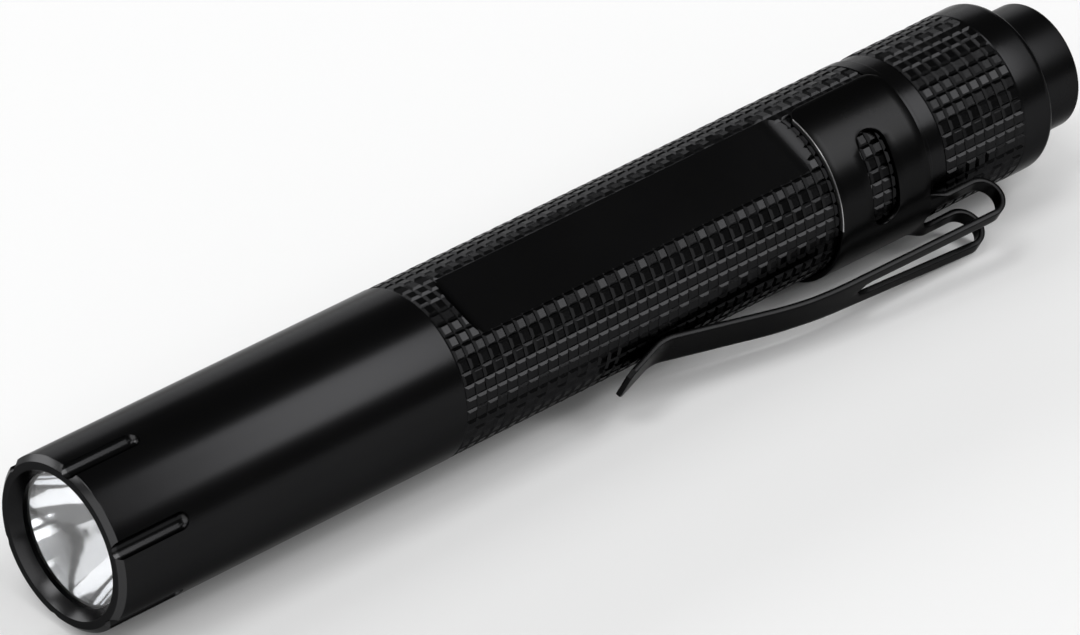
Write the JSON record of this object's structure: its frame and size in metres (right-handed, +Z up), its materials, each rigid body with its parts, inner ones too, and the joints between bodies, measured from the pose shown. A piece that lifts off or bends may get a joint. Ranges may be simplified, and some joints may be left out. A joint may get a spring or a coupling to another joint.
{
  "type": "penlight",
  "caption": "Slim single-cell penlight with a smooth grooved head, square-knurled grip with a bare flat, sprung pocket clip on a split band, screw-on tail cap and tail push button.",
  "frame": {"origin": "centre of the head's ring-shaped front face, on the optical axis", "axes": "+X along the optical axis from the front face to the tail, +Z up as the light lies on its clip band and clip arm, with the clip on the -Y side"},
  "size_m": [0.0992, 0.0178, 0.015],
  "materials": {
    "black_anodised": "satin black anodised",
    "clip_black": "spring steel with a black coat",
    "button_black": "semi-gloss black",
    "black_rubber": "matte black",
    "clear_lens": "clear, polished",
    "mirror_coat": "bright vacuum-coated mirror",
    "white_insulator": "matte white",
    "led_ceramic": "matte ceramic",
    "led_silicone": "clear silicone over yellow phosphor",
    "brass": "turned",
    "contact_gold": "gold flash",
    "lead_red": "insulated wire",
    "board_green": "solder mask",
    "component_black": "moulded",
    "cell_steel": "nickel-plated steel",
    "cell_fill": "packed dark powder",
    "cell_wrap": "plain shrink sleeve",
    "cell_plastic": "moulded nylon",
    "bare_aluminium": "turned",
    "plunger_red": "moulded",
    "spring_steel": "bright wire"
  },
  "bodies": {
    "torch_body": {"head_shell": "black_anodised", "lens": "clear_lens", "body_tube": "black_anodised", "lens_gasket": "black_rubber", "reflector": "mirror_coat", "led_insulator": "white_insulator", "led_base": "led_ceramic", "led_dome": "led_silicone", "led_board": "white_insulator", "pill": "brass", "led_leads": "lead_red", "driver_board": "board_green", "driver_components": "component_black", "positive_spring": "contact_gold", "head_o_ring": "black_rubber", "cell_can": "cell_steel", "cell_core": "cell_fill", "cell_sleeve": "cell_wrap", "cell_positive_cap": "cell_steel", "cell_seal": "cell_plastic", "cell_negative_cap": "cell_steel", "tail_o_ring": "black_rubber"},
    "clip": {"clip_band": "clip_black"},
    "clip_arm": {"clip_arm": "clip_black"},
    "tail_module": {"negative_spring": "contact_gold", "switch_board": "board_green", "switch_contacts": "contact_gold", "switch_housing": "component_black"},
    "tail_cap": {"tail_cap": "black_anodised", "switch_retaining_ring": "bare_aluminium"},
    "button": {"button": "button_black", "switch_plunger": "plunger_red", "button_return_spring": "spring_steel", "button_seal": "black_rubber"}
  },
  "joints": [
    {"name": "clip_turn", "type": "hinge", "parent": "torch_body", "child": "clip", "pos_m": [0.076, 0, 0], "axis": [1, 0, 0], "continuous": true},
    {"name": "clip_flex", "type": "hinge", "parent": "clip", "child": "clip_arm", "pos_m": [0.08657, -0.00792, -0.00414], "axis": [0, -0.4633, 0.8862], "range_deg": [0, 8], "stiffness_Nm_per_rad": 1.5},
    {"name": "cap_advance", "type": "slide", "parent": "torch_body", "child": "tail_module", "axis": [1, 0, 0], "range_m": [0, 0.0049]},
    {"name": "cap_turn", "type": "hinge", "parent": "tail_module", "child": "tail_cap", "pos_m": [0.088, 0, 0], "axis": [1, 0, 0], "range_deg": [0, 2520]},
    {"name": "button_press", "type": "slide", "parent": "tail_cap", "child": "button", "axis": [-1, 0, 0], "range_m": [0, 0.0015], "stiffness_N_per_m": 2200, "deforming": ["button_return_spring"]}
  ],
  "couplings": [
    {"joint": "cap_turn", "follows": "cap_advance", "rad_per_m": 8976}
  ]
}
